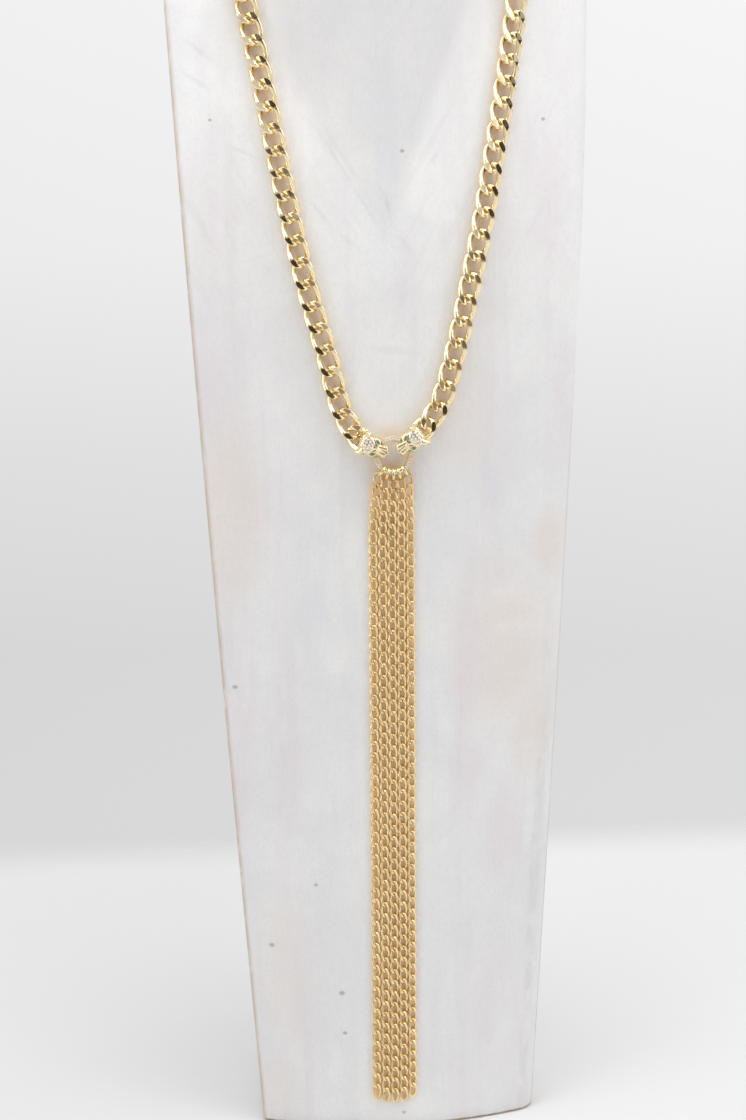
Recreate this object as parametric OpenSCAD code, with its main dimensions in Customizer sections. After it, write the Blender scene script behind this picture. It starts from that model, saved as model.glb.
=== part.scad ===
// A tie necklace of gold curb chain, worn by the free-standing wooden neck bust that holds it.
// Millimetres. X runs to the right of the bust, its front faces -Y and Z is up.

/* [Neck bust] */
// Height from the foot to the top of the neck
bust_h = 545; // [541:1:551]
// Half of the width at the foot
foot_half = 58; // [54:0.5:62]
// Half of the width at the shoulders
shoulder_half = 84.5; // [82:0.5:88]
// Height of the sharp outer end of the shoulders
shoulder_z = 473; // [470:1:476]
// How far the foot stands to the right of the middle of the shoulders
foot_shift = 4.5; // [0:0.5:6]
// How far the edges of the front lie behind its middle
front_sag = 11; // [8:0.5:13]
// How far the chest has gone back at the height of the shoulders
chest_recess = 17.5; // [14:0.5:20]
// Half of the width of the neck
neck_half = 45; // [43:0.5:46]

/* [Curb chain] */
// Thickness of the wire of a link
link_wire = 2.4; // [2.3:0.05:2.4]
// Half of the width of a link, at the middle of its wire
link_half_w = 3.6; // [3.6:0.02:3.64]
// Length that each link adds to the chain
link_pitch = 8.6; // [8.55:0.05:8.7]
// Turn of each end of a link out of its middle plane, in degrees
link_twist = 48; // [48:0.5:50]
// Thickness of the chain between its flat cut faces
chain_t = 4.9; // [4.8:0.05:4.95]

/* [Cat heads and ring] */
// Radius of the ring, at the middle of its bar
ring_r = 6.6; // [6.5:0.1:6.7]
// Radius of the bar of the ring
ring_bar = 1.1; // [1:0.05:1.15]
// Height of the middle of the ring above the foot
ring_z = 285; // [284:0.5:286]
// Direction of the left head from the ring, in degrees from the right
left_angle = 154.5; // [153:0.5:156]
// Direction of the right head from the ring, in degrees from the right
right_angle = 39.5; // [38:0.5:41]
// Diameter of a small clear stone
stone_d = 1.05; // [0.9:0.05:1.1]

/* [Fringe] */
// Space from the middle of one strand to the next
strand_pitch = 3.75; // [3.7:0.05:3.9]
// Width of a strand
strand_w = 3.6; // [3.5:0.05:3.6]
// Thickness of a strand from front to back
strand_t = 2.2; // [2:0.05:2.3]
// Height of the lowest end of the middle strand above the foot
strand_end_z = 11.6; // [10:0.1:14]

/* [Hidden] */

gold = "gold";
pale_gold = "khaki";
clear = "lightcyan";
whitewash = "whitesmoke";

// Front of the bust at the middle, the back at the foot and at the shoulders
front_y0 = -38;
back_foot = 40;
back_shoulder = 30;
// How far the sides bow outward, and how soon the shoulders draw in to the neck
side_bow = 1;
shoulder_power = 2.2;
// The neck rises out of the chest here, and goes back by this much for each mm of height
neck_root_z = 353;
neck_lean = 0.03;
neck_root_slope = 0.12;
// Its front lies this far behind the chest's, and is this much further back this far to the side
neck_set_back = 0.5;
neck_round = 12;
neck_round_at = 42;
// The middle and half the depth of the round neck at the top
neck_mid_y = 5;
neck_half_depth = 37;
// The chest begins to go back here, and the shoulders end in the neck here
recess_z = 345;
neck_z = 510;
valley_blend = 1.5;

function unit(v) = v / norm(v);
function mix(a, b, t) = a + (b - a) * t;
function clamp01(t) = min(max(t, 0), 1);
function smooth(t) = let (c = clamp01(t)) c * c * (3 - 2 * c);
function signed_power(v, p) = sign(v) * pow(abs(v), p);
function soft_min(a, b, k) = min(a, b) - k * ln(1 + exp(-abs(a - b) / k));

// The bust's outline from the front: half its width, and its middle, at height z
function shoulder_slope(z) = clamp01((z - shoulder_z) / (neck_z - shoulder_z));
function slab_half(z) = foot_half + (shoulder_half - foot_half) * min(z, shoulder_z) / shoulder_z
    + side_bow * sin(180 * min(z, shoulder_z) / shoulder_z);
function bust_half(z) =
    neck_half + (slab_half(z) - neck_half) * pow(1 - shoulder_slope(z), shoulder_power);
function bust_mid(z) = foot_shift * (1 - min(z, shoulder_z) / shoulder_z);

// The front: a bowed chest that goes back towards the shoulders, and the neck that rises out of it
function chest_y(x, z) = front_y0 + front_sag * pow((x - bust_mid(z)) / slab_half(z), 2)
    + chest_recess * pow(max(z - recess_z, 0) / (shoulder_z - recess_z), 2);
function neck_front_y(x, z) = front_y0 + neck_set_back + neck_lean * max(z - neck_root_z, 0)
    + neck_root_slope * max(neck_root_z - z, 0) + neck_round * pow(x / neck_round_at, 2);
function front_y(x, z) = soft_min(chest_y(x, z), neck_front_y(x, z), valley_blend);
function back_y(z) = mix(back_foot, back_shoulder, min(z, shoulder_z) / shoulder_z);

// One level section of the bust: the front, the right side, the back and the left side.
// The right edge of the front is worn round, the left one is crisp, and the sides draw in
// towards a bowed back with round corners.
front_steps = 20;
back_steps = 8;
edge_left = 1.2;
edge_right = 7;
edge_turn = [0.3, 0.2];
side_in = 3;
back_corner = 6;
back_bow = 4;
function slab_ring(z, inset) =
    let (half = bust_half(z) - inset, mid = bust_mid(z), back = back_y(z) - inset)
    let (left = mid - half, right = mid + half)
    concat(
        [for (i = [0:front_steps])
            let (x = mix(left + edge_left, right - edge_right, i / front_steps))
            [x, front_y(x, z) + inset]],
        [
            [right - edge_turn[0] * edge_right, front_y(right, z) + edge_turn[1] * edge_right + inset],
            [right, front_y(right, z) + edge_right + inset],
            [right - side_in / 2, 0],
            [right - side_in, back - back_corner]
        ],
        [for (i = [0:back_steps])
            let (t = i / back_steps, in = side_in + back_corner)
            [mix(right - in, left + in, t), back + back_bow * sin(180 * t)]],
        [
            [left + side_in, back - back_corner],
            [left + side_in / 2, 0],
            [left, front_y(left, z) + edge_left + inset]
        ]
    );
function round_ring(z, inset) =
    let (n = len(slab_ring(z, 0)), a = neck_half - inset, b = neck_half_depth - inset)
    [for (p = slab_ring(z, 0))
        let (turn = atan2((p[1] - neck_mid_y) / b, (p[0] - bust_mid(z)) / a))
        [a * cos(turn), neck_mid_y + b * sin(turn)]];
function bust_ring(z, inset) =
    let (t = smooth(shoulder_slope(z)), flat_ring = slab_ring(z, inset), neck = round_ring(z, inset))
    [for (i = [0:len(neck) - 1]) concat(mix(flat_ring[i], neck[i], t), z)];

// Heights of the sections, and how far each one is drawn in where an edge is worn round
bust_rows = [
    // z, inset
    [0, 1.5], [1.5, 0], [80, 0], [160, 0], [240, 0], [295, 0], [335, 0], [353, 0],
    [367, 0], [381, 0], [395, 0], [409, 0], [423, 0], [437, 0], [451, 0], [463, 0], [473, 0],
    [477, 0], [482, 0], [488, 0], [495, 0], [502, 0], [510, 0], [525, 0], [bust_h - 4, 0],
    [bust_h - 1, 1.2], [bust_h, 4]
];

// Closes a stack of rings, each with the same number of points, into one solid
module stack(rings) {
    n = len(rings[0]);
    m = len(rings);
    points = [for (r = rings) each r];
    sides = [for (i = [0:m - 2], j = [0:n - 1])
        let (a = i * n + j, b = i * n + (j + 1) % n)
        each [[a, a + n, b], [b, a + n, b + n]]];
    first = [for (j = [0:n - 1]) j];
    last = [for (j = [n - 1:-1:0]) (m - 1) * n + j];
    polyhedron(points, concat(sides, [first, last]));
}

// The chain's way up each side of the chest, as a place in the front view
chest_route_left = [
    // x, z
    [-17.9, 303], [-23.6, 325.5], [-30.6, 350.6], [-36.3, 375.7], [-41.2, 400.3], [-45.6, 424.9],
    [-50.4, 450.3]
];
chest_route_right = [
    // x, z
    [20.2, 304.6], [26.6, 325.5], [32.1, 350.3], [37.4, 375.2], [42.1, 400], [46.5, 424.4],
    [50.9, 449.7]
];
// Its way over the shoulder and round the back of the neck, for the right side
neck_route = [
    // x, y, z, and the way that the chain faces
    [52.6, -23, 460, 0.3, -0.95, 0.2],
    [54.2, -20.8, 471.5, 0.35, -0.87, 0.35],
    [55.1, -16.3, 482.9, 0.43, -0.65, 0.6],
    [54.3, -7.2, 493.1, 0.54, -0.25, 0.8],
    [51.7, 4.5, 500.5, 0.66, 0, 0.7],
    [46.9, 17.1, 504.8, 0.8, 0.25, 0.5],
    [38.8, 29.7, 508, 0.75, 0.6, 0.2],
    [28.4, 38.3, 510.5, 0.5, 0.85, 0.05],
    [14.5, 43.6, 512.5, 0.3, 0.95, 0],
    [0, 45.35, 513, 0, 1, 0]
];

// What the chain and the ring stand off the chest, to the middle of each, and how far the chain
// stands outside the points on its way round the neck
chain_lift = 2.9;
ring_lift = 3.8;
neck_rise = 0.35;
ring_x = 1.8;
ring_mid = [ring_x, front_y(ring_x, ring_z) - ring_lift, ring_z];
// A route starts inside a head, and leaves it this far from the middle of the ring
nape_r = 7;
collar_r = 13.8;

function head_dir(angle) = [cos(angle), 0, sin(angle)];
function chest_facing(x, z) = unit([
    front_y(x + 0.5, z) - front_y(x - 0.5, z), -1, front_y(x, z + 0.5) - front_y(x, z - 0.5)
]);
function chest_point(p) =
    let (n = chest_facing(p[0], p[1]))
    [[p[0], front_y(p[0], p[1]), p[1]] + chain_lift * n, n];
function neck_point(p, side) =
    let (facing = unit([side * p[3], p[4], p[5]]))
    [[side * p[0], p[1], p[2]] + neck_rise * facing, facing];
function route(angle, chest, side) = concat(
    [for (r = [nape_r, collar_r]) [ring_mid + r * head_dir(angle), [0, -1, 0]]],
    [for (p = chest) chest_point(p)],
    [for (p = neck_route) neck_point(p, side)]
);

// A smooth curve through the points of a route, and the way it faces along it
curve_steps = 8;
function curve_at(p0, p1, p2, p3, t) = 0.5 * (2 * p1 + (p2 - p0) * t
    + (2 * p0 - 5 * p1 + 4 * p2 - p3) * t * t + (3 * p1 - p0 - 3 * p2 + p3) * t * t * t);
function curve(points) =
    let (last = len(points) - 1)
    concat(
        [for (i = [0:last - 1], k = [0:curve_steps - 1])
            curve_at(points[max(i - 1, 0)], points[i], points[i + 1], points[min(i + 2, last)],
                k / curve_steps)],
        [points[last]]
    );
function lengths(points) =
    [for (i = 0, s = 0; i < len(points);
        s = s + (i < len(points) - 1 ? norm(points[i + 1] - points[i]) : 0), i = i + 1) s];
function along(points, marks, s) =
    [for (axis = [0:2]) lookup(s, [for (i = [0:len(points) - 1]) [marks[i], points[i][axis]]])];

// A place on the route for each link: its middle, its direction and the way it faces
function places(route_rows, count, first_s) =
    let (
        points = curve([for (r = route_rows) r[0]]),
        facing = curve([for (r = route_rows) r[1]]),
        marks = lengths(points),
        pitch = (marks[len(marks) - 1] - first_s - clasp_half) / count
    )
    [for (i = [0:count])
        let (
            ends = i == 0 ? end_slack : i == count ? -end_slack : 0,
            s = first_s + pitch * i + ends,
            at = along(points, marks, s),
            dir = unit(along(points, marks, s + 1) - along(points, marks, max(s - 1, 0))),
            raw = along(facing, marks, s)
        )
        [at, dir, unit(raw - (raw * dir) * dir)]];

// The first place is the link fused to the head, and the last is the link fused to the clasp.
// Both stand a little towards the chain, so that its end links are free in them.
head_link_s = collar_r - nape_r;
clasp_half = 7.5;
end_slack = 0.95;
clasp_r = 2.8;
links_each_side = 34;
left_route = route(left_angle, chest_route_left, -1);
right_route = route(right_angle, chest_route_right, 1);
left_places = places(left_route, links_each_side, head_link_s);
right_places = [for (p = places(right_route, links_each_side, head_link_s)) [p[0], -p[1], p[2]]];

// One twisted link: the middle of its wire at step k, in its own frame. Its form is a squared oval,
// and the gap is what its ends leave free of the next links.
link_sides = 12;
wire_sides = 5;
link_power = 2.6;
link_gap = 0.52;
link_half_l = (link_pitch + link_wire + link_gap) / 2;
function link_mid(k) =
    let (
        a = 360 * k / link_sides,
        u = link_half_l * signed_power(cos(a), 2 / link_power),
        w = link_half_w * signed_power(sin(a), 2 / link_power),
        turn = link_twist * u / link_half_l
    )
    [u, w * cos(turn), w * sin(turn), turn];
function link_mid3(k) = let (m = link_mid(k)) [m[0], m[1], m[2]];
function flat_cut(v) = [v[0], v[1], min(max(v[2], -chain_t / 2), chain_t / 2)];
link_ring = [for (k = [0:link_sides - 1], j = [0:wire_sides - 1])
    let (
        way = unit(link_mid3(k + 1) - link_mid3(k - 1)),
        turn = link_mid(k)[3],
        across = unit(cross(way, [0, -sin(turn), cos(turn)])),
        out = cross(across, way),
        b = 360 * j / wire_sides
    )
    flat_cut(link_mid3(k) + link_wire / 2 * (cos(b) * across + sin(b) * out))];
link_faces = [for (k = [0:link_sides - 1], j = [0:wire_sides - 1])
    let (
        k2 = (k + 1) % link_sides,
        j2 = (j + 1) % wire_sides,
        a = k * wire_sides + j,
        b = k * wire_sides + j2,
        c = k2 * wire_sides + j,
        d = k2 * wire_sides + j2
    )
    each [[a, c, b], [b, c, d]]];
function placed_link(p) =
    let (side = cross(p[1], p[2]))
    [for (v = link_ring) p[0] + v[0] * p[1] + v[1] * side + v[2] * p[2]];
module links(place_list) {
    n = len(link_ring);
    polyhedron(
        [for (p = place_list) each placed_link(p)],
        [for (i = [0:len(place_list) - 1], f = link_faces) [for (v = f) v + i * n]]
    );
}

module neck_bust() {
    color(whitewash) stack([for (r = bust_rows) bust_ring(r[0], r[1])]);
}

module chain_left() {
    color(gold) links([for (i = [1:links_each_side - 1]) left_places[i]]);
}

module chain_right() {
    color(gold) links([for (i = [1:links_each_side - 1]) right_places[i]]);
}

// A plain barrel at the back of the neck, with a fused link at each end
module clasp() {
    left_end = left_places[links_each_side];
    right_end = right_places[links_each_side];
    mid = (left_end[0] + right_end[0]) / 2;
    color(gold) {
        translate(mid) rotate([0, 90, 0]) cylinder(h = 2 * clasp_half, r = clasp_r, center = true, $fn = 24);
        links([left_end]);
        links([right_end]);
    }
}

// The form of a head, in sections outward from the middle of the ring
head_rows = [
    // r, half width, top, bottom
    [2.5, 1.3, 1.9, 0.4], [2.8, 2.0, 2.4, -0.6], [3.7, 2.4, 2.8, -1.7], [5, 2.45, 2.9, -2.3],
    [6.2, 2.6, 3.1, -2.7], [7.2, 3.2, 3.6, -3], [8.4, 3.9, 4, -3.2], [10, 4.3, 4.5, -3.3],
    [11.8, 4.5, 4.7, -3.3], [13, 4.2, 4.3, -3.2], [14.1, 3.4, 3.5, -2.8], [14.7, 2.6, 2.6, -2.2],
    [15, 1.8, 1.8, -1.6]
];
head_sides = 16;
head_power = 2.3;
function head_ring(row) = [for (j = [0:head_sides - 1])
    let (a = 360 * j / head_sides, mid = (row[2] + row[3]) / 2, high = (row[2] - row[3]) / 2)
    [row[0], row[1] * signed_power(cos(a), 2 / head_power),
        mid + high * signed_power(sin(a), 2 / head_power)]];

module at_ring(angle) {
    translate(ring_mid) rotate([90, 0, 0]) rotate([0, 0, angle]) children();
}

// Each ear and each half of the muzzle is drawn round balls, and one more ball hollows the ear
ear_balls = [
    // r, distance to the side, height, radius
    [12.5, 3.3, 3.1, 1.2], [12.9, 3.9, 2.2, 1.2], [14, 4.7, 4.4, 0.8]
];
ear_hollow = [12.5, 4.7, 4.8, 1.2];
muzzle_balls = [[4, 1.2, 1.55, 1.5], [6.4, 0.95, 2.3, 1.1]];
module ball(b, s) {
    translate([b[0], s * b[1], b[2]]) sphere(r = b[3], $fn = 10);
}
module head_form() {
    stack([for (r = head_rows) head_ring(r)]);
    for (s = [-1, 1]) {
        difference() {
            hull() for (b = ear_balls) ball(b, s);
            ball(ear_hollow, s);
        }
        hull() for (b = muzzle_balls) ball(b, s);
    }
}

// The form is fused to a link of the chain, and cut away round the ring that the head bites
bite_gap = 0.25;
module cat_head(angle, place) {
    color(pale_gold) difference() {
        union() {
            at_ring(angle) head_form();
            links([place]);
        }
        translate(ring_mid) rotate([90, 0, 0]) rotate_extrude($fn = 40)
            translate([ring_r, 0]) circle(r = ring_bar + bite_gap, $fn = 12);
    }
}

module cat_head_left() {
    cat_head(left_angle, left_places[0]);
}

module cat_head_right() {
    cat_head(right_angle, right_places[0]);
}

// Closes two or three rings of eight points into a cut stone with a flat back and a table
function eight(long, wide, z) = [for (i = [0:7])
    [long / 2 * cos(45 * i + 22.5), wide / 2 * sin(45 * i + 22.5), z]];
module cut_stone(long, wide, high) {
    girdle = 0.3 * high;
    stack([eight(long, wide, 0), eight(long, wide, girdle), eight(0.6 * long, 0.6 * wide, high)]);
}
module small_stone() {
    stack([eight(stone_d, stone_d, 0), eight(0.6 * stone_d, 0.6 * stone_d, 0.4 * stone_d)]);
}

// The crown's height over a place on a head, r from the middle of the ring and v to the side
function head_value(r, column) = lookup(r, [for (row = head_rows) [row[0], row[column]]]);
function crown(r, v) =
    let (
        half = head_value(r, 1),
        mid = (head_value(r, 2) + head_value(r, 3)) / 2,
        high = (head_value(r, 2) - head_value(r, 3)) / 2
    )
    mid + high * pow(1 - pow(min(abs(v) / half, 1), head_power), 1 / head_power);
function crown_facing(r, v) = unit([
    crown(r - 0.2, v) - crown(r + 0.2, v), crown(r, v - 0.2) - crown(r, v + 0.2), 0.4
]);

// Stands a stone on the crown
stone_gap = 0.22;
module on_crown(r, v) {
    n = crown_facing(r, v);
    turn = atan2(n[1], n[0]);
    translate([r, v, crown(r, v)] + stone_gap * n)
        rotate([0, acos(n[2]), turn]) rotate([0, 0, -turn]) children();
}

// The eyes slant outward at the sides of the brow
eye_r = 8.2;
eye_v = 2.4;
eye_turn = 35;
module eye_stone(angle, s) {
    color("seagreen") at_ring(angle)
        on_crown(eye_r, s * eye_v) rotate([0, 0, s * eye_turn]) cut_stone(2.3, 1.3, 0.7);
}

// The small stones of a crown stand in rows across it, each row half a step over from the last
crown_rows = [
    // r, number of stones
    [9.8, 4], [10.95, 5], [12.1, 4], [13.25, 3]
];
crown_step = 1.25;
module pave(angle) {
    color(clear) at_ring(angle)
        for (row = crown_rows, i = [0:row[1] - 1])
            on_crown(row[0], crown_step * (i - (row[1] - 1) / 2)) small_stone();
}

module eye_stone_1() {
    eye_stone(left_angle, 1);
}

module eye_stone_2() {
    eye_stone(left_angle, -1);
}

module eye_stone_3() {
    eye_stone(right_angle, 1);
}

module eye_stone_4() {
    eye_stone(right_angle, -1);
}

module drop_ring() {
    color(pale_gold) translate(ring_mid) rotate([90, 0, 0]) rotate_extrude($fn = 96)
        translate([ring_r, 0]) circle(r = ring_bar, $fn = 32);
}

// Direction of each strand's jump ring from the middle of the ring, in degrees from straight down.
// Its wire is wider than it is thick.
ring_angles = [-37, -18, 0, 18, 37];
jump_r = 2.4;
jump_wire = 0.4;
jump_flat = 1.4;
jump_drop = 0.75;

module fringe_ring(i) {
    color(gold) translate(ring_mid) rotate([0, -ring_angles[i], 0])
        translate([0, 0, -ring_r - jump_drop]) rotate([0, 90, 0]) rotate_extrude($fn = 48)
            translate([jump_r, 0]) scale([1, jump_flat]) circle(r = jump_wire, $fn = 16);
}

// The stones on the front of the ring leave out what the heads and the jump rings cover
ring_stone_runs = [
    // first angle, last angle, number of stones
    [69, 125, 6], [189, 222, 4], [-42, 11, 6]
];
module pave_ring() {
    color(clear) translate(ring_mid)
        for (run = ring_stone_runs, i = [0:run[2] - 1]) {
            a = mix(run[0], run[1], i / (run[2] - 1));
            translate([ring_r * cos(a), -ring_bar - stone_gap, ring_r * sin(a)])
                rotate([90, 0, 0]) small_stone();
        }
}

// The hanging strands: each runs from its jump ring to its own line, and down the chest. They are
// crowded at the top, and the outer ones end higher.
fringe_x = 1.4;
strand_rings = 16;
strand_start_r = 10.5;
strand_lie = 1.5;
strand_spread_z = 24;
strand_crowded = 0.8;
strand_end_rise = 0.55;
function strand_start(i) = ring_mid
    + strand_start_r * [sin(ring_angles[i]), 0, -cos(ring_angles[i])];
function strand_at(i, z) =
    let (
        start = strand_start(i),
        t = smooth((start[2] - z) / strand_spread_z),
        x = mix(start[0], fringe_x + (i - 2) * strand_pitch, t)
    )
    [x, mix(start[1], front_y(x, z) - strand_lie, t), z];
function strand_z(i, k) =
    let (low = strand_end_z + strand_end_rise * pow(i - 2, 2))
    mix(strand_start(i)[2], low, pow(k / (strand_rings - 1), 1.5));
function strand_size(i, z, k) = k == 0 || k == strand_rings - 1 ? 0.6
    : mix(strand_crowded, 1, smooth((strand_start(i)[2] - z) / strand_spread_z));
module fringe_chain(i) {
    color(gold) stack([for (k = [strand_rings - 1:-1:0])
        let (p = strand_at(i, strand_z(i, k)), size = strand_size(i, p[2], k))
        [for (j = [0:7])
            p + size / 2 * [strand_w * cos(45 * j + 22.5), strand_t * sin(45 * j + 22.5), 0]]]);
}

neck_bust();
chain_left();
chain_right();
clasp();
cat_head_left();
cat_head_right();
eye_stone_1();
eye_stone_2();
eye_stone_3();
eye_stone_4();
drop_ring();
fringe_ring(0);  // fringe_ring_1
fringe_ring(1);  // fringe_ring_2
fringe_ring(2);  // fringe_ring_3
fringe_ring(3);  // fringe_ring_4
fringe_ring(4);  // fringe_ring_5
pave(left_angle);  // pave_left
pave(right_angle);  // pave_right
pave_ring();
fringe_chain(0);  // fringe_chain_1
fringe_chain(1);  // fringe_chain_2
fringe_chain(2);  // fringe_chain_3
fringe_chain(3);  // fringe_chain_4
fringe_chain(4);  // fringe_chain_5
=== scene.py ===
import itertools
import math

import bmesh
import bpy
import numpy as np
from mathutils import Matrix, Vector


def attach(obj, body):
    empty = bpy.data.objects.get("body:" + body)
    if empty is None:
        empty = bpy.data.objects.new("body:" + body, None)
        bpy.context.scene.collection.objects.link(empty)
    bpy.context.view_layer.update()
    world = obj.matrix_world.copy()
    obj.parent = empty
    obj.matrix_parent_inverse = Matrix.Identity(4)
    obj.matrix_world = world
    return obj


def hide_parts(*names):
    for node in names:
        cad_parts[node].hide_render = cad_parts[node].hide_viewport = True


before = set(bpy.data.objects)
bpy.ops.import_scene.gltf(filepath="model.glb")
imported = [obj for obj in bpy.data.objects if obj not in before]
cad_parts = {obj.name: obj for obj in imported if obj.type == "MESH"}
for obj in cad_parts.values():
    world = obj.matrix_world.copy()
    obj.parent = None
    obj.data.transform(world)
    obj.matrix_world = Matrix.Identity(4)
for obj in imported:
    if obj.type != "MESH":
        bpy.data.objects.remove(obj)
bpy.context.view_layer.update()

MM = 0.001


# -------------------- values that the CAD part has too
BUST_H = 545
FOOT_HALF, SHOULDER_HALF, NECK_HALF = 58, 84.5, 45
SHOULDER_Z, NECK_Z, NECK_ROOT_Z, RECESS_Z = 473, 510, 353, 345
FOOT_SHIFT, SIDE_BOW, SHOULDER_POWER = 4.5, 1, 2.2
FRONT_Y0, FRONT_SAG, CHEST_RECESS = -38, 11, 17.5
BACK_FOOT, BACK_SHOULDER, BACK_BOW, BACK_CORNER, SIDE_IN = 40, 30, 4, 6, 3
NECK_LEAN, NECK_ROOT_SLOPE, NECK_SET_BACK, NECK_ROUND, NECK_ROUND_AT = 0.03, 0.12, 0.5, 12, 42
NECK_MID_Y, NECK_HALF_DEPTH, VALLEY_BLEND = 5, 37, 1.5
EDGE_LEFT, EDGE_RIGHT = 1.2, 7

LINK_WIRE, LINK_HALF_W, LINK_PITCH, LINK_TWIST, CHAIN_T = 2.4, 3.6, 8.6, 48, 4.9
LINK_POWER, LINK_GAP = 2.6, 0.52
LINKS_EACH_SIDE, CLASP_HALF, CLASP_R, END_SLACK = 34, 7.5, 2.8, 0.95
NAPE_R, COLLAR_R, CHAIN_LIFT, RING_LIFT, NECK_RISE = 7, 13.8, 2.9, 3.8, 0.35
CURVE_STEPS = 8

RING_R, RING_BAR, RING_X, RING_Z = 6.6, 1.1, 1.8, 285
LEFT_ANGLE, RIGHT_ANGLE = 154.5, 39.5
STONE_D, STONE_GAP, BITE_GAP = 1.05, 0.22, 0.25
EYE_R, EYE_V, EYE_TURN = 8.2, 2.4, 35
CROWN_ROWS = [(9.8, 4), (10.95, 5), (12.1, 4), (13.25, 3)]
CROWN_STEP = 1.25
RING_STONE_RUNS = [(69, 125, 6), (189, 222, 4), (-42, 11, 6)]
RING_ANGLES = [-37, -18, 0, 18, 37]

FRINGE_X, STRAND_PITCH, STRAND_START_R = 1.4, 3.75, 10.5
STRAND_SPREAD_Z, STRAND_END_Z, STRAND_END_RISE = 24, 11.6, 0.55

CHEST_ROUTE_LEFT = [
    (-17.9, 303), (-23.6, 325.5), (-30.6, 350.6), (-36.3, 375.7), (-41.2, 400.3), (-45.6, 424.9),
    (-50.4, 450.3),
]
CHEST_ROUTE_RIGHT = [
    (20.2, 304.6), (26.6, 325.5), (32.1, 350.3), (37.4, 375.2), (42.1, 400), (46.5, 424.4),
    (50.9, 449.7),
]
NECK_ROUTE = [
    (52.6, -23, 460, 0.3, -0.95, 0.2), (54.2, -20.8, 471.5, 0.35, -0.87, 0.35),
    (55.1, -16.3, 482.9, 0.43, -0.65, 0.6), (54.3, -7.2, 493.1, 0.54, -0.25, 0.8),
    (51.7, 4.5, 500.5, 0.66, 0, 0.7), (46.9, 17.1, 504.8, 0.8, 0.25, 0.5),
    (38.8, 29.7, 508, 0.75, 0.6, 0.2), (28.4, 38.3, 510.5, 0.5, 0.85, 0.05),
    (14.5, 43.6, 512.5, 0.3, 0.95, 0), (0, 45.35, 513, 0, 1, 0),
]
# r, half width, top, bottom
HEAD_ROWS = np.array([
    (2.5, 1.3, 1.9, 0.4), (2.8, 2.0, 2.4, -0.6), (3.7, 2.4, 2.8, -1.7), (5, 2.45, 2.9, -2.3),
    (6.2, 2.6, 3.1, -2.7), (7.2, 3.2, 3.6, -3), (8.4, 3.9, 4, -3.2), (10, 4.3, 4.5, -3.3),
    (11.8, 4.5, 4.7, -3.3), (13, 4.2, 4.3, -3.2), (14.1, 3.4, 3.5, -2.8), (14.7, 2.6, 2.6, -2.2),
    (15, 1.8, 1.8, -1.6),
])
HEAD_POWER = 2.3


# -------------------- small sums
def unit(v):
    return v / np.linalg.norm(v, axis=-1, keepdims=True)


def mix(a, b, t):
    return a + (b - a) * t


def smooth(t):
    c = np.clip(t, 0, 1)
    return c * c * (3 - 2 * c)


def fade(value, zero_at, one_at):
    """0 at one value and beyond, 1 at the other and beyond, smooth between."""
    return smooth((value - zero_at) / (one_at - zero_at))


def signed_power(v, p):
    return np.sign(v) * np.abs(v) ** p


def wave(x, seed, lengths, heights):
    """A smooth made-up unevenness along x: a few sines with seeded phases."""
    phases = np.random.default_rng(seed).uniform(0, 2 * np.pi, len(lengths))
    return sum(h * np.sin(2 * np.pi * x / l + p) for l, h, p in zip(lengths, heights, phases))


# -------------------- the bust's surface
def shoulder_slope(z):
    return np.clip((z - SHOULDER_Z) / (NECK_Z - SHOULDER_Z), 0, 1)


def slab_half(z):
    t = np.minimum(z, SHOULDER_Z) / SHOULDER_Z
    return FOOT_HALF + (SHOULDER_HALF - FOOT_HALF) * t + SIDE_BOW * np.sin(np.pi * t)


def bust_half(z):
    return NECK_HALF + (slab_half(z) - NECK_HALF) * (1 - shoulder_slope(z)) ** SHOULDER_POWER


def bust_mid(z):
    return FOOT_SHIFT * (1 - np.minimum(z, SHOULDER_Z) / SHOULDER_Z)


def chest_y(x, z):
    bowed = FRONT_SAG * ((x - bust_mid(z)) / slab_half(z)) ** 2
    return FRONT_Y0 + bowed + CHEST_RECESS * (np.maximum(z - RECESS_Z, 0) / (SHOULDER_Z - RECESS_Z)) ** 2


def neck_front_y(x, z):
    lean = NECK_LEAN * np.maximum(z - NECK_ROOT_Z, 0) + NECK_ROOT_SLOPE * np.maximum(NECK_ROOT_Z - z, 0)
    return FRONT_Y0 + NECK_SET_BACK + lean + NECK_ROUND * (x / NECK_ROUND_AT) ** 2


def front_y(x, z):
    a, b = chest_y(x, z), neck_front_y(x, z)
    return np.minimum(a, b) - VALLEY_BLEND * np.log1p(np.exp(-np.abs(a - b) / VALLEY_BLEND))


def back_y(z):
    return mix(BACK_FOOT, BACK_SHOULDER, np.minimum(z, SHOULDER_Z) / SHOULDER_Z)


# -------------------- the chain's route
RING_MID = np.array([RING_X, front_y(RING_X, RING_Z) - RING_LIFT, RING_Z])


def ring_dir(angle):
    """The direction in the ring's plane at this many degrees, counted from the right."""
    a = math.radians(angle)
    return np.array([math.cos(a), 0, math.sin(a)])


def chest_facing(x, z):
    return unit(np.array([
        front_y(x + 0.5, z) - front_y(x - 0.5, z), -1, front_y(x, z + 0.5) - front_y(x, z - 0.5)
    ]))


def route(angle, chest, side):
    """Points of one side's route, from inside the head to the back of the neck, and what each faces."""
    rows = [(RING_MID + r * ring_dir(angle), np.array([0, -1, 0])) for r in (NAPE_R, COLLAR_R)]
    for x, z in chest:
        facing = chest_facing(x, z)
        rows.append((np.array([x, front_y(x, z), z]) + CHAIN_LIFT * facing, facing))
    for x, y, z, fx, fy, fz in NECK_ROUTE:
        facing = unit(np.array([side * fx, fy, fz]))
        rows.append((np.array([side * x, y, z]) + NECK_RISE * facing, facing))
    return rows


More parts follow.
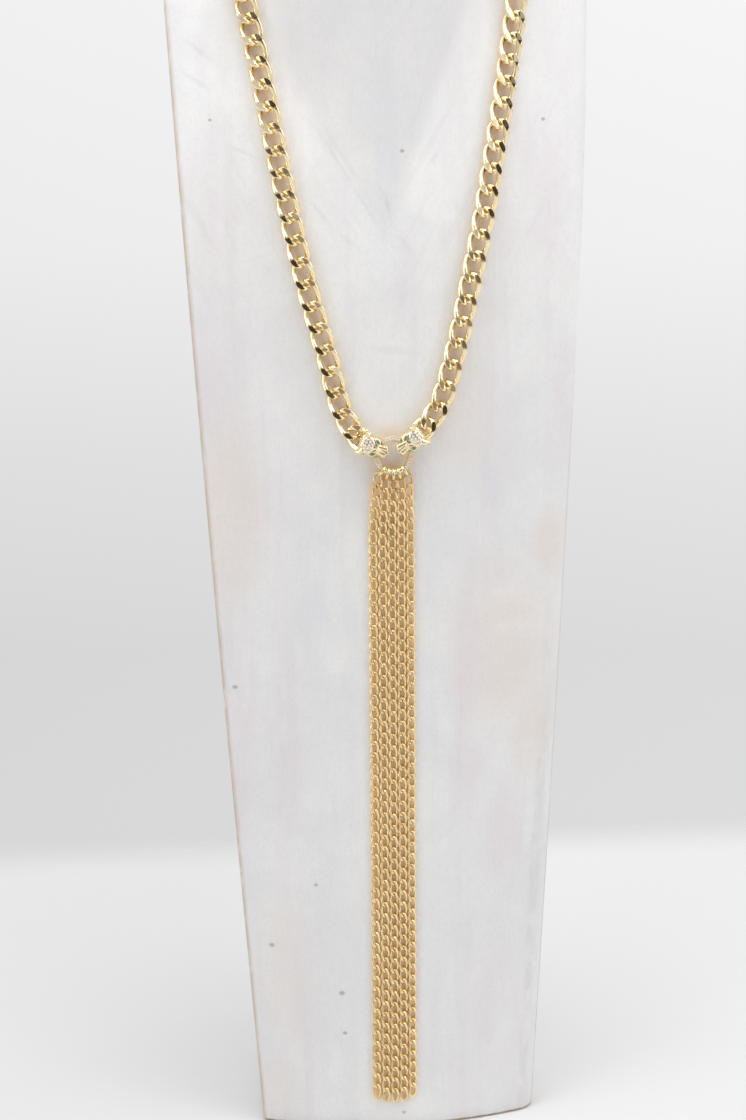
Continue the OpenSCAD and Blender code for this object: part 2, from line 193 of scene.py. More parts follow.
def curve(points):
    """A Catmull-Rom curve through the points, as the CAD part steps it."""
    points = np.asarray(points, float)
    last = len(points) - 1
    out = []
    for i in range(last):
        p0, p1, p2, p3 = points[max(i - 1, 0)], points[i], points[i + 1], points[min(i + 2, last)]
        for k in range(CURVE_STEPS):
            t = k / CURVE_STEPS
            bend = (2 * p0 - 5 * p1 + 4 * p2 - p3) * t * t + (3 * p1 - p0 - 3 * p2 + p3) * t ** 3
            out.append(0.5 * (2 * p1 + (p2 - p0) * t + bend))
    return np.array(out + [points[last]])


def marks_of(points):
    return np.concatenate([[0], np.cumsum(np.linalg.norm(np.diff(points, axis=0), axis=1))])


def along(points, marks, s):
    return np.array([np.interp(s, marks, points[:, axis]) for axis in range(3)])


def places(rows):
    """Middle, direction and facing of each link on a route, from the one at the head's collar."""
    first_s = COLLAR_R - NAPE_R
    points, facing = curve([r[0] for r in rows]), curve([r[1] for r in rows])
    marks = marks_of(points)
    pitch = (marks[-1] - first_s - CLASP_HALF) / LINKS_EACH_SIDE
    out = []
    for i in range(LINKS_EACH_SIDE + 1):
        slack = END_SLACK if i == 0 else -END_SLACK if i == LINKS_EACH_SIDE else 0
        s = first_s + pitch * i + slack
        way = unit(along(points, marks, s + 1) - along(points, marks, max(s - 1, 0)))
        raw = along(facing, marks, s)
        out.append((along(points, marks, s), way, unit(raw - (raw @ way) * way)))
    return out


ROUTES = [route(LEFT_ANGLE, CHEST_ROUTE_LEFT, -1), route(RIGHT_ANGLE, CHEST_ROUTE_RIGHT, 1)]
LEFT_PLACES = places(ROUTES[0])
RIGHT_PLACES = [(p, -way, facing) for p, way, facing in places(ROUTES[1])]


# -------------------- meshes as (points, faces)
def grid_faces(rows, columns, closed_rows=False):
    """Quads of a grid of points, numbered row by row, whose rows are closed rings."""
    here = np.arange(rows * columns).reshape(rows, columns)
    beside, next_row = np.roll(here, -1, 1), np.roll(here, -1, 0)
    quads = np.stack([here, beside, np.roll(next_row, -1, 1), next_row], -1)
    return quads[:rows if closed_rows else -1].reshape(-1, 4).tolist()


def end_faces(count, columns):
    """The faces that close the first and last row of a grid with this many points."""
    return [list(range(columns))[::-1], list(range(count - columns, count))]


def outward(points, faces):
    """The same closed mesh with its faces outward, as its volume tells."""
    fans = [(f[0], f[k], f[k + 1]) for f in faces for k in range(1, len(f) - 1)]
    a, b, c = points[np.array(fans).T]
    return (points, faces) if np.sum(a * np.cross(b, c)) > 0 else (points, [f[::-1] for f in faces])


def join(parts):
    points, faces, n = [], [], 0
    for p, f in parts:
        points.append(p)
        faces += [[k + n for k in face] for face in f]
        n += len(p)
    return np.concatenate(points), faces


def put(part, origin, x, y, z):
    """A mesh moved from its own frame to the frame at origin with these three directions."""
    points, faces = part
    flips = np.dot(np.cross(x, y), z) < 0
    return origin + points @ np.array([x, y, z]), [f[::-1] for f in faces] if flips else faces


def swept(centres, across, out, radius, sides, closed=True):
    """A round wire along a closed or open line."""
    turns = 2 * np.pi * np.arange(sides) / sides
    radius = np.broadcast_to(radius, len(centres))[:, None, None]
    ring = np.cos(turns)[None, :, None] * across[:, None] + np.sin(turns)[None, :, None] * out[:, None]
    points = (centres[:, None] + radius * ring).reshape(-1, 3)
    faces = grid_faces(len(centres), sides, closed_rows=closed)
    if not closed:
        faces += end_faces(len(points), sides)
    return outward(points, faces)


def wire_along(centres, radius, sides=10, closed=False, toward=(0, -1, 0)):
    """A round wire along points, of one or changing radius, its section turned to one direction."""
    centres = np.asarray(centres, float)
    if closed:
        way = unit(np.roll(centres, -1, 0) - np.roll(centres, 1, 0))
    else:
        way = unit(np.gradient(centres, axis=0))
    across = unit(np.cross(way, np.broadcast_to(np.asarray(toward, float), way.shape)))
    return swept(centres, across, np.cross(across, way), radius, sides, closed)


def turned(profile):
    """A closed form turned round the x direction, from rows of (x, radius)."""
    x, r = np.asarray(profile, float).T
    return wire_along(np.stack([x, 0 * x, 0 * x], 1), r, 48)


def from_bmesh(bm):
    bm.verts.index_update()
    points = np.array([v.co for v in bm.verts], float)
    faces = [tuple(v.index for v in f.verts) for f in bm.faces]
    bm.free()
    return points, faces


def flat_cut(part, levels):
    """Cuts a closed mesh flat at z = -levels and +levels, and closes the cuts."""
    bm = bmesh.new()
    verts = [bm.verts.new(p) for p in part[0]]
    for f in part[1]:
        bm.faces.new([verts[k] for k in f])
    for level in (-levels, levels):
        cut = bmesh.ops.bisect_plane(
            bm, geom=bm.verts[:] + bm.edges[:] + bm.faces[:], dist=1e-5,
            plane_co=(0, 0, level), plane_no=(0, 0, math.copysign(1, level)), clear_outer=True)
        edges = [e for e in cut["geom_cut"] if isinstance(e, bmesh.types.BMEdge)]
        bmesh.ops.holes_fill(bm, edges=edges, sides=0)
    return from_bmesh(bm)


def curb_link(half_l, half_w, power, twist, wire, flat, steps, sides, turned_on=0.0):
    """One twisted oval link, with its front and back cut flat, and then twisted on a little."""
    a = np.linspace(0, 2 * np.pi, 1441)
    u = half_l * signed_power(np.cos(a), 2 / power)
    w = half_w * signed_power(np.sin(a), 2 / power)
    line = np.stack([u, w], 1)
    marks = marks_of(line)
    s = np.linspace(0, marks[-1], steps, endpoint=False)
    u, w = np.interp(s, marks, line[:, 0]), np.interp(s, marks, line[:, 1])
    turn = np.radians(twist) * u / half_l
    mid = np.stack([u, w * np.cos(turn), w * np.sin(turn)], 1)
    way = unit(np.roll(mid, -1, 0) - np.roll(mid, 1, 0))
    up = np.stack([0 * turn, -np.sin(turn), np.cos(turn)], 1)
    across = unit(np.cross(way, up))
    points, faces = flat_cut(swept(mid, across, np.cross(across, way), wire / 2, sides), flat)
    a = np.radians(turned_on) * points[:, 0] / half_l
    y = points[:, 1] * np.cos(a) - points[:, 2] * np.sin(a)
    z = points[:, 1] * np.sin(a) + points[:, 2] * np.cos(a)
    return np.stack([points[:, 0], y, z], 1), faces


def put_link(template, place, roll=0.0, nod=0.0):
    """A link at its place, turned by a small roll round its length and nodded along it, in degrees."""
    p, way, facing = place
    a, b = math.radians(roll), math.radians(nod)
    facing = facing * math.cos(a) + np.cross(way, facing) * math.sin(a)
    way, facing = way * math.cos(b) + facing * math.sin(b), facing * math.cos(b) - way * math.sin(b)
    return put(template, p, way, np.cross(way, facing), facing)


# -------------------- pieces
def new_object(name, data):
    obj = bpy.data.objects.new(name, data)
    bpy.context.scene.collection.objects.link(obj)
    return obj


def piece(name, parts, material, nodes=(), sharp=None, values=None):
    """One piece of the object, from meshes in millimetres. It rides on the only body."""
    points, faces = join(parts)
    mesh = bpy.data.meshes.new(name)
    mesh.from_pydata((points * MM).tolist(), [], faces)
    mesh.polygons.foreach_set("use_smooth", np.ones(len(mesh.polygons), bool))
    if sharp is not None:
        mesh.set_sharp_from_angle(angle=math.radians(sharp))
    for key, numbers in (values or {}).items():
        made = mesh.attributes.new(key, "FLOAT", "POINT")
        made.data.foreach_set("value", np.asarray(numbers, np.float32))
    mesh.materials.append(material)
    obj = new_object(name, mesh)
    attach(obj, "root")
    if nodes:
        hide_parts(*nodes)


# -------------------- materials
class Nodes:
    """A node tree under construction, with short names for what its shaders are made of."""

    def __init__(self, tree, coordinate):
        self.tree = tree
        self.place = self.node("ShaderNodeTexCoord").outputs[coordinate]

    def node(self, kind, inputs=None, **settings):
        made = self.tree.nodes.new(kind)
        for key, value in settings.items():
            setattr(made, key, value)
        for key, value in (inputs or {}).items():
            self.feed(made.inputs[key], value)
        return made

    def feed(self, socket, value):
        if isinstance(value, bpy.types.NodeSocket):
            self.tree.links.new(value, socket)
        else:
            socket.default_value = value

    def split(self):
        """The x, y and z of each point."""
        return tuple(self.node("ShaderNodeSeparateXYZ", {0: self.place}).outputs)

    def calc(self, what, a, b=0.0):
        return self.node("ShaderNodeMath", {0: a, 1: b}, operation=what).outputs[0]

    def times(self, a, b):
        return self.calc("MULTIPLY", a, b)

    def most(self, masks):
        """The largest of several masks."""
        largest = 0.0
        for mask in masks:
            largest = self.calc("MAXIMUM", largest, mask)
        return largest

    def length(self, vector):
        return self.node("ShaderNodeVectorMath", {0: vector}, operation="LENGTH").outputs["Value"]

    def lying(self, middle=(0, 0, 0), lean=0.0, size=(1, 1, 1), place=None):
        """Each point in the frame of something with this middle and size that leans to the right."""
        inputs = {"Location": middle, "Rotation": (0, lean, 0), "Scale": size}
        inputs["Vector"] = place or self.place
        return self.node("ShaderNodeMapping", inputs, vector_type="TEXTURE").outputs[0]

    def noise(self, scale, detail, rough, stretch=None, distortion=0.0, at=None):
        inputs = {"Scale": scale, "Detail": detail, "Roughness": rough, "Distortion": distortion}
        inputs["Vector"] = at or self.place
        if stretch:
            mapping = self.node("ShaderNodeMapping", {"Vector": self.place, "Scale": stretch})
            inputs["Vector"] = mapping.outputs[0]
        return self.node("ShaderNodeTexNoise", inputs).outputs[0]

    def step(self, value, low, high):
        """0 below low, 1 above high, smooth between."""
        made = self.node("ShaderNodeMapRange", {0: value, 1: low, 2: high}, interpolation_type="SMOOTHSTEP")
        return made.outputs[0]

    def span(self, value, low, high, to_low=0.0, to_high=1.0):
        """to_low below low, to_high above high, even between."""
        inputs = {0: value, 1: low, 2: high, 3: to_low, 4: to_high}
        return self.node("ShaderNodeMapRange", inputs).outputs[0]

    def patches(self, scale, detail, rough, low, high, **more):
        """A mask of made-up patches: 1 where a noise is above high, 0 where it is below low."""
        return self.step(self.noise(scale, detail, rough, **more), low, high)

    def ramp(self, value, stops):
        made = self.node("ShaderNodeValToRGB", {0: value})
        elements = made.color_ramp.elements
        while len(elements) < len(stops):
            elements.new(0.5)
        for element, (at, colour) in zip(elements, stops):
            element.position, element.color = at, (*colour, 1)
        return made.outputs[0]

    def mix(self, amount, a, b, blend="MIX"):
        made = self.node("ShaderNodeMix", {0: amount}, data_type="RGBA", blend_type=blend)
        for socket, value in ((made.inputs[6], a), (made.inputs[7], b)):
            self.feed(socket, value if isinstance(value, bpy.types.NodeSocket) else (*value, 1))
        return made.outputs[2]

    def over(self, base, colour, share, where):
        """The base with this share of a colour over it, where the mask is 1."""
        return self.mix(self.times(where, share), base, colour)

    def gain(self, base, where, factor):
        """The base times a factor for each of red, green and blue, where the mask is 1."""
        return self.mix(where, base, factor, blend="MULTIPLY")


class Paint(Nodes):
    """A material under construction."""

    def __init__(self, name):
        self.material = bpy.data.materials.new(name)
        self.material.use_nodes = True
        super().__init__(self.material.node_tree, "Object")

    def mark(self, name):
        return self.node("ShaderNodeAttribute", attribute_name=name).outputs["Fac"]

    def bump(self, height, distance, strength):
        inputs = {"Height": height, "Distance": distance, "Strength": strength}
        return self.node("ShaderNodeBump", inputs).outputs[0]

    def set(self, **sockets):
        shader = self.tree.nodes["Principled BSDF"]
        for key, value in sockets.items():
            self.feed(shader.inputs[key.replace("_", " ")], value)
        return self.material


# The last three are the brown of painted shade on the metal near and above a height, its share, and the
# millimetres over which it fades in.
GOLD_GRAIN, SHADE_BROWN, SHADE_SHARE, SHADE_FADE = 1400, (0.74, 0.47, 0.22), 0.6, 12
STONE_GRAIN, STONE_BENDS_LIGHT, STONE_CLEARNESS = 2600, 2.2, 0.1


def gold(name, light, deep, rough, painted_shade_above=None):
    """Polished plated metal: slight clouding, hairline wear in the polish, tone a little uneven.

    Near and above a given height it is browner: painted shade where the links crowd and lie over each
    other.
    """
    m = Paint(name)
    hairs = m.noise(GOLD_GRAIN, 4, 0.65, stretch=(1, 1, 0.25))
    base = m.mix(m.patches(GOLD_GRAIN / 6, 3, 0.6, 0.35, 0.68), deep, light)
    if painted_shade_above:
        # Painted shade: browner near and above the given height.
        shaded_high_up = m.step(m.split()[2], (painted_shade_above - SHADE_FADE) * MM, painted_shade_above * MM)
        base = m.over(base, SHADE_BROWN, SHADE_SHARE, shaded_high_up)
    m.set(Base_Color=base, Metallic=1.0, Normal=m.bump(hairs, 0.00001, 0.25))
    return m.set(Roughness=m.span(hairs, 0.3, 0.8, rough * 0.75, rough * 1.5))


def stone(name, colour, deep):
    """Cut clear stone: bright facets, with a little colour inside."""
    m = Paint(name)
    inside = m.noise(STONE_GRAIN, 2, 0.5)
    m.set(Base_Color=m.mix(m.step(inside, 0.4, 0.62), deep, colour), IOR=STONE_BENDS_LIGHT)
    return m.set(Roughness=m.times(inside, 0.08), Transmission_Weight=STONE_CLEARNESS)


# Where the wood shows warm or mauve through the paint, and where the paint is bluish: x and z of
# the middle, half width and half height
WARM = [(48, 205, 30, 48), (67, 247, 11, 20), (59, 170, 13, 28), (-61.5, 262, 18, 50)]
FAINT_WARM = [(-43.5, 70, 18, 55), (-48, 16, 18, 20), (30, 300, 20, 30)]
MAUVE = [
    (-65, 369, 13, 36), (-68, 310, 11, 22), (63, 384, 14, 50), (70, 305, 10, 45), (-43, 160, 11, 80),
    (34, 185, 13, 85), (48, 125, 13, 34), (45, 50, 16, 34), (-61, 170, 11, 75),
]
BLUISH = [(0, 415, 7, 70), (-27, 224, 7, 16), (41, 272, 7, 12)]
# Small dark specks: x, z and half width
SPECKS = [
    (5.2, 6.2, 1.2), (-48.9, 79.8, 1.6), (-20.3, 59.8, 1.8), (-19.2, 42.1, 1.4), (-66.9, 414.8, 1.0),
    (-30.4, 106.9, 1.2), (63.3, 414.8, 1.2), (6.6, 402.4, 1.3), (-61.9, 190.1, 1.5),
]
# Long marks on the chest, darker and paler: x and z of both ends, and half width
DARK_STROKES = [
    (-25.5, 410.5, -12.5, 388.9, 1.3), (-12.5, 388.9, -0.7, 370.1, 1.2), (-0.9, 388.8, 2.8, 373.5, 1.6),
    (2.1, 375.4, 11.3, 360.8, 2.2), (-29.1, 384.0, -20.4, 372.6, 1.4), (-20.4, 372.6, -9.3, 364.1, 1.4),
    (-8.1, 327.4, 11.5, 324.8, 2.8), (-77.7, 447.0, -62.9, 435.3, 1.6), (-78.8, 434.1, -64.7, 425.0, 1.6),
    (-62.1, 406.0, -47.2, 399.0, 1.2), (21.6, 402.8, 15.6, 395.2, 1.6),
]
PALE_STROKES = [
    (-18.4, 382.8, -5.5, 365.2, 0.9), (-1.9, 370.9, 11.6, 349.3, 1.0), (-34.0, 410.6, -19.5, 382.1, 2.0),
]
THIN_WOOD = (0.815, 0.74, 0.685)
FLAT = 1000  # a size in y so large that y doesn't count


def oval(m, x, z, wide, high, lean=0.0, inner=0.25):
    """1 inside an oval on the front of the bust, fading out from its inner part to its edge."""
    away = m.length(m.lying((x * MM, 0, z * MM), lean, (wide * MM, FLAT, high * MM)))
    return m.step(away, 1.0, inner)


def stroke(m, x0, z0, x1, z1, wide):
    """1 along the middle of a long mark on the front of the bust, fading out to its edge."""
    high = 0.62 * math.hypot(x1 - x0, z1 - z0)
    return oval(m, (x0 + x1) / 2, (z0 + z1) / 2, wide, high, math.atan2(x1 - x0, z1 - z0), inner=0.1)


def neck_front(m):
    """1 on the front of the neck, which narrows downward to a point on the chest."""
    beside = m.calc("MAXIMUM", m.times(m.x, -1 / 0.64), m.times(m.x, 1 / 0.38))
    above = m.calc("SUBTRACT", m.calc("SUBTRACT", m.z, 0.366), beside)
    return m.times(m.step(above, -0.006, 0.016), m.in_front)


def cloudy(m):
    """Paint of uneven thickness, with faint upright streaks, and mauve toward the sides."""
    clouds = m.patches(16, 4, 0.62, 0.34, 0.66, distortion=0.5)
    base = m.mix(clouds, (0.805, 0.808, 0.816), (0.866, 0.867, 0.865))
    base = m.over(base, (0.76, 0.755, 0.765), 0.34, m.step(m.small, 0.45, 0.7))
    streaks = m.patches(75, 3, 0.6, 0.46, 0.7, stretch=(1, 1, 0.1), distortion=0.3)
    base = m.over(base, (0.76, 0.73, 0.745), 0.45, streaks)
    mauve = m.patches(22, 3, 0.6, 0.42, 0.66, stretch=(1, 1, 0.5))
    mauve = m.times(mauve, m.step(m.aside, 0.012, 0.05))
    return m.over(base, (0.765, 0.72, 0.73), 0.25, mauve)


def with_spots(m, base):
    """The base with the larger patches of thin or bluish paint on the front."""
    thin = m.times(m.in_front, m.patches(60, 4, 0.65, 0.2, 0.56, stretch=(0.5, 1, 1)))
    long_thin = m.times(m.in_front, m.patches(70, 4, 0.65, 0.32, 0.62, stretch=(1, 1, 0.3)))
    for spots, how, share, colour in (
            (WARM, thin, 0.65, THIN_WOOD), (FAINT_WARM, thin, 0.35, THIN_WOOD),
            (MAUVE, long_thin, 0.65, (0.80, 0.745, 0.77)),
            (BLUISH, long_thin, 0.65, (0.75, 0.76, 0.83))):
        patch = m.most(oval(m, *spot) for spot in spots)
        base = m.over(base, colour, share, m.times(patch, how))
    return base


def slanted(m):
    """A mask of fine brush marks on the chest that slant outward and up on both sides."""
    right_side = m.calc("GREATER_THAN", m.x, 0.0)
    folded = m.node("ShaderNodeCombineXYZ", {0: m.aside, 1: right_side, 2: m.z}).outputs[0]
    along = m.lying(lean=math.radians(29), size=(1, 1, 11), place=folded)
    marks = m.patches(230, 3, 0.6, 0.52, 0.72, distortion=0.5, at=along)
    return m.times(marks, m.step(m.z, 0.32, 0.37))


def with_brush_marks(m, base):
    """The base with painted shade on the front of the neck, fine brush marks, the wood's grain and fine
    unevenness.
    """
    # Painted shade: the front of the neck is darker and cooler in patches, as where it stands upright in
    # the valley and gets less light from above.
    painted_neck_shade = m.times(m.neck, m.patches(30, 3, 0.6, 0.2, 0.6))
    fine = m.patches(1500, 3, 0.6, 0.45, 0.75, stretch=(1, 1, 0.2))
    for where, share, colour in (
            (painted_neck_shade, 0.45, (0.74, 0.745, 0.76)), (slanted(m), 0.22, (0.68, 0.67, 0.68)),
            (m.step(m.grain, 0.56, 0.78), 0.16, (0.66, 0.62, 0.61)),
            (fine, 0.18, (0.66, 0.64, 0.63)),
            (m.patches(900, 2, 0.6, 0.45, 0.75), 0.17, (0.64, 0.62, 0.62))):
        base = m.over(base, colour, share, where)
    return base


def with_strokes(m, base):
    """The base with long darker and paler marks on the chest, and painted shade along the right edge of the
    front where it starts to round off.
    """
    uneven = m.patches(330, 3, 0.6, 0.2, 0.6)
    for rows, factor in ((DARK_STROKES, (0.925, 0.927, 0.94)), (PALE_STROKES, (1.035, 1.035, 1.035))):
        marks = m.times(m.most(stroke(m, *row) for row in rows), uneven)
        base = m.gain(base, m.times(marks, m.in_front), factor)
    edge_shade = m.patches(150, 3, 0.6, 0.4, 0.62, stretch=(1, 1, 0.4))
    # Painted shade: a cool darker band along the right edge of the front, where it starts to round off.
    return m.mix(m.times(m.mark("painted_edge_shade"), edge_shade), base, (0.66, 0.655, 0.68))


def with_light(m, base):
    """Painted light on the base: brighter on the upper chest, away from the neck, as where more light falls
    from above; painted warm light reflected from the gold under the chain and the fringe; and painted light
    that lifts the shade beside them.
    """
    # Painted light: the upper chest is brighter, as lit more from above.
    off_neck = m.calc("SUBTRACT", 1.0, m.times(m.neck, 0.85))
    upper = m.times(m.step(m.z, 0.19, 0.48), off_neck)
    chest = m.times(m.step(m.y, 0.03, -0.03), m.step(m.z, 0.51, 0.475))
    base = m.gain(base, m.times(upper, chest), (1.1, 1.105, 1.11))
    # Painted light: warm light reflected from the gold under the chain and fringe, and paler paint beside
    # them where their shade is lifted.
    for name, factor in (("painted_light_beside_metal", (1.055, 1.055, 1.05)), ("painted_glow_by_chain", (1.12, 0.97, 0.85)),
                         ("painted_glow_by_fringe", (1.22, 1.03, 0.74))):
        base = m.gain(base, m.mark(name), factor)
    return base


def with_wear(m, base):
    """The base with small dark specks, and with bare wood along the worn edges."""
    specks = m.most(oval(m, x, z, size, size * 0.8) for x, z, size in SPECKS)
    base = m.over(base, (0.36, 0.32, 0.29), 0.7, m.times(specks, m.in_front))
    worn = m.patches(300, 4, 0.65, 0.2, 0.56, stretch=(1, 1, 0.3))
    return m.mix(m.times(m.mark("worn_line"), worn), base, (0.47, 0.30, 0.12))


def whitewash():
    """Whitewashed wood: cloudy paint, warm and mauve where it is thin, brushed strokes and longer darker
    and paler marks, bare edges, and painted light and shade.
    """
    m = Paint("whitewashed_wood")
    m.x, m.y, m.z = m.split()
    m.aside = m.calc("ABSOLUTE", m.x)
    m.in_front = m.step(m.y, 0.0, -0.012)
    m.neck = neck_front(m)
    m.small = m.noise(55, 3, 0.6, stretch=(1, 1, 0.5), distortion=0.4)
    m.grain = m.noise(420, 4, 0.62, stretch=(1, 1, 0.05), distortion=0.3)
    base = cloudy(m)
    for layer in (with_spots, with_brush_marks, with_strokes, with_light, with_wear):
        base = layer(m, base)
    height = m.calc("ADD", m.times(m.grain, 0.5), m.times(m.small, 0.5))
    m.set(Base_Color=base, Normal=m.bump(height, 0.0003, 0.4))
    return m.set(Roughness=0.62, Specular_IOR_Level=0.3)


CHAIN_GOLD = gold("chain_gold", (0.98, 0.862, 0.61), (0.94, 0.792, 0.505), 0.13)
HEAD_GOLD = gold("head_gold", (0.97, 0.86, 0.60), (0.92, 0.77, 0.48), 0.14)
RING_GOLD = gold("jump_ring_gold", (0.97, 0.84, 0.48), (0.92, 0.75, 0.36), 0.16)
DROP_RING_GOLD = gold("drop_ring_gold", (0.99, 0.93, 0.76), (0.95, 0.86, 0.64), 0.28)
# The fringe is browner at its crowded top: painted shade.
FRINGE_GOLD = gold("fringe_gold", (0.99, 0.80, 0.475), (0.95, 0.73, 0.39), 0.3, painted_shade_above=276)
CLEAR = stone("clear_stone", (1.0, 0.98, 0.93), (0.93, 0.90, 0.84))
RING_STONE = stone("ring_stone", (1.0, 0.93, 0.80), (0.90, 0.76, 0.55))
GREEN = stone("green_stone", (0.05, 0.36, 0.10), (0.015, 0.17, 0.04))
WHITEWASH = whitewash()


# -------------------- neck bust
FRONT_COLUMNS, FOOT_RIM = 150, 1.4


def bezier(a, b, c, t):
    """Points on a curve from a to c that is drawn toward b."""
    t = np.asarray(t)[:, None]
    return (1 - t) ** 2 * np.asarray(a) + 2 * t * (1 - t) * np.asarray(b) + t * t * np.asarray(c)


def between(a, b, t):
    """Points on the straight line from a to b."""
    return mix(np.asarray(a), np.asarray(b), np.asarray(t)[:, None])


def bust_section(z, inset):
    """One level section of the slab, in the order front, right, back, left."""
    half, mid, back = bust_half(z) - inset, bust_mid(z), back_y(z) - inset
    left, right = mid - half, mid + half
    x = mix(left + EDGE_LEFT, right - EDGE_RIGHT, np.linspace(0, 1, FRONT_COLUMNS))
    front = np.stack([x, front_y(x, z) + inset], 1)
    y_left, y_edge, y_right = (front_y(at, z) + inset for at in (left, right - EDGE_RIGHT, right))
    front_l, front_r = (left, y_left + EDGE_LEFT), (right, y_right + EDGE_RIGHT)
    rear_l, rear_r = (left + SIDE_IN, back - BACK_CORNER), (right - SIDE_IN, back - BACK_CORNER)
    inner = SIDE_IN + BACK_CORNER
    steps, turn = np.linspace(0, 1, 8)[1:-1], np.linspace(0, 1, 6)
    edge = bezier((right - EDGE_RIGHT, y_edge), (right, y_right), front_r, np.linspace(0, 1, 9)[1:])
    corner_r = bezier(rear_r, (right - SIDE_IN, back), (right - inner, back), turn[1:])
    t = np.linspace(0, 1, 26)[1:-1]
    rear = np.stack([mix(right - inner, left + inner, t), back + BACK_BOW * np.sin(np.pi * t)], 1)
    corner_l = bezier((left + inner, back), (left + SIDE_IN, back), rear_l, turn)
    fillet = bezier(front_l, (left, y_left), (left + EDGE_LEFT, y_left), turn[1:-1])
    return np.concatenate([
        front, edge, between(front_r, rear_r, [0.03, *steps, 1]), corner_r, rear, corner_l,
        between(rear_l, front_l, [*steps, 0.97, 1]), fillet])


def worn_marks(count, z):
    """For each point of a level section: how worn it is along the front's edges, and how much painted shade
    it gets where the front's right edge starts to round off.
    """
    line, edge_shade = np.zeros(count), np.zeros(count)
    line[-5:] = (0.55, 0.6, 0.6, 0.5, 0.4)
    line[0] = 0.2
    n = FRONT_COLUMNS
    line[n + 4:n + 8] = fade(z, 330, 270) * np.array([0.2, 0.5, 0.6, 0.3])
    edge_shade[n - 3:n + 2] = 0.4 * fade(z, 260, 170) * np.array([0.3, 1, 1, 1, 0.3])
    return line, edge_shade


def bust_level(z, inset):
    """One level section of the whole bust, where the slab turns into the neck, with its worn marks and its
    painted edge shade.
    """
    slab, outline = bust_section(z, inset), bust_section(z, 0)
    a, b = NECK_HALF - inset, NECK_HALF_DEPTH - inset
    turn = np.arctan2((outline[:, 1] - NECK_MID_Y) / b, (outline[:, 0] - bust_mid(z)) / a)
    neck = np.stack([a * np.cos(turn), NECK_MID_Y + b * np.sin(turn)], 1)
    t = float(smooth(shoulder_slope(z)))
    line, edge_shade = worn_marks(len(slab), z)
    points = np.column_stack([mix(slab, neck, t), np.full(len(slab), z)])
    return points, line * (1 - t) ** 2, edge_shade * (1 - t) ** 2


def bust_levels():
    """The height of each level section, and how far inside the outline it lies, for rounded rims."""
    heights = [
        *np.arange(6, SHOULDER_Z - 3, 4.5), 470, 472, 473, 473.8, 475, 477, 479.5, 482, 485, 488, 491.5,
        495, 498.5, 502, 506, 510, 515, 520, 525, 530, 535, BUST_H - 4,
    ]
    foot = [(0, 1.5), (0.3, 0.9), (0.8, 0.35), (1.5, 0)]
    top = [(BUST_H - 2.8, 0.25), (BUST_H - 1.8, 0.7), (BUST_H - 1, 1.2), (BUST_H - 0.4, 2.2), (BUST_H, 4)]
    return foot + [(z, 0) for z in heights] + top


def chain_distance(points):
    """How far each point is from the middle of the chain or of the ring."""
    line = [RING_MID + RING_R * ring_dir(angle) for angle in range(0, 360, 15)]
    for rows in ROUTES:
        line += list(curve([r[0] for r in rows]))
    away = np.full(len(points), np.inf)
    for p in line:
        away = np.minimum(away, np.linalg.norm(points - p, axis=1))
    return away


def metal_marks(points):
    """How much each point of the bust lies under the chain, under the fringe, or beside them: where painted
    warm light reflected from the gold falls, and where painted light lifts the shade beside the metal.
    """
    x, y, z = points.T
    from_mid, fringe_half = np.abs(x - FRINGE_X), 2.5 * STRAND_PITCH
    painted_glow_by_fringe = fade(from_mid, fringe_half + 0.2, fringe_half - 1) * (y < 0)
    painted_glow_by_fringe *= fade(z, STRAND_END_Z - 1, STRAND_END_Z + 2) * fade(z, RING_Z - 9, RING_Z - 13)
    from_chain = chain_distance(points)
    painted_glow_by_chain = fade(from_chain, 6.1, 4)
    from_fringe = np.hypot(np.maximum(from_mid - fringe_half, 0), np.maximum(STRAND_END_Z - z, 0))
    beside = np.maximum(fade(from_chain, 16, 7), fade(from_fringe, 8, 1) * (z <= RING_Z)) * (y < 0)
    beside *= (1 - painted_glow_by_fringe) * (1 - painted_glow_by_chain)
    return {"painted_glow_by_chain": painted_glow_by_chain, "painted_glow_by_fringe": painted_glow_by_fringe, "painted_light_beside_metal": beside}


def build_bust():
    rings, lines, edge_shades = zip(*(bust_level(z, inset) for z, inset in bust_levels()))
    n, points, line = len(rings[0]), np.concatenate(rings), np.concatenate(lines)
    faces = grid_faces(len(rings), n) + end_faces(len(points), n)
    values = metal_marks(points)
    values["worn_line"] = np.where(points[:, 2] < FOOT_RIM, np.maximum(line, 0.8), line)
    # Painted shade along the right edge of the front, strongest low down.
    values["painted_edge_shade"] = np.concatenate(edge_shades)
    part = outward(points, faces)
    piece("whitewashed_bust", [part], WHITEWASH, ["neck_bust"], sharp=40, values=values)


# -------------------- chain and clasp
# The links are twisted, cut flat a little deeper than the CAD's, and twisted on by TURNED_ON degrees,
# so that their left and right flats face a little toward each other. Each has a small tilt of its own.
TURNED_ON, CUT_DEEPER, LINK_TILT = 7, 0.27, 1.8
LINK = curb_link((LINK_PITCH + LINK_WIRE + LINK_GAP) / 2, LINK_HALF_W, LINK_POWER, LINK_TWIST - TURNED_ON,
                 LINK_WIRE, CHAIN_T / 2 - CUT_DEEPER, 72, 18, TURNED_ON)


def build_chain():
    tilts = np.random.default_rng(11).uniform(-LINK_TILT, LINK_TILT, (2, LINKS_EACH_SIDE + 1, 2))
    for side, rows, tilt in (("left", LEFT_PLACES, tilts[0]), ("right", RIGHT_PLACES, tilts[1])):
        parts = [put_link(LINK, p, *t) for p, t in zip(rows[1:-1], tilt)]
        piece("curb_chain_" + side, parts, CHAIN_GOLD, ["chain_" + side], sharp=30)


